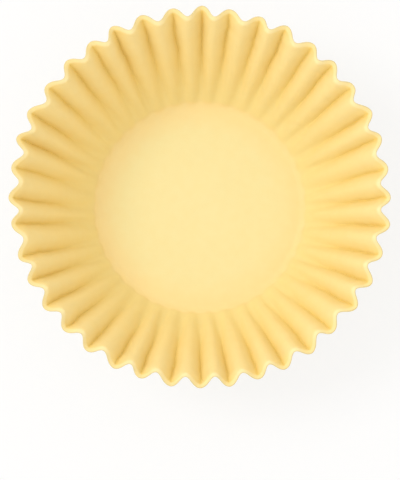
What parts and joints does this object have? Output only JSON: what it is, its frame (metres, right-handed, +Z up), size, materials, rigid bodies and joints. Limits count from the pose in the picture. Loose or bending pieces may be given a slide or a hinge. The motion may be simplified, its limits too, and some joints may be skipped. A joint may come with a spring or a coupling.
{
  "type": "cupcake liner",
  "caption": "Pleated round paper cup with a flat floor and a flared wall, open at the top, for baking a small cake in.",
  "frame": {"origin": "centre of the flat floor's underside, on the table plane", "axes": "+Z up, from the floor to the open rim; +X and +Y across the cup, each through a pleat's crest"},
  "size_m": [0.0868, 0.0868, 0.0315],
  "materials": {
    "paper": "matte, dyed pale yellow"
  },
  "bodies": {
    "root": {"liner": "paper"}
  },
  "joints": []
}
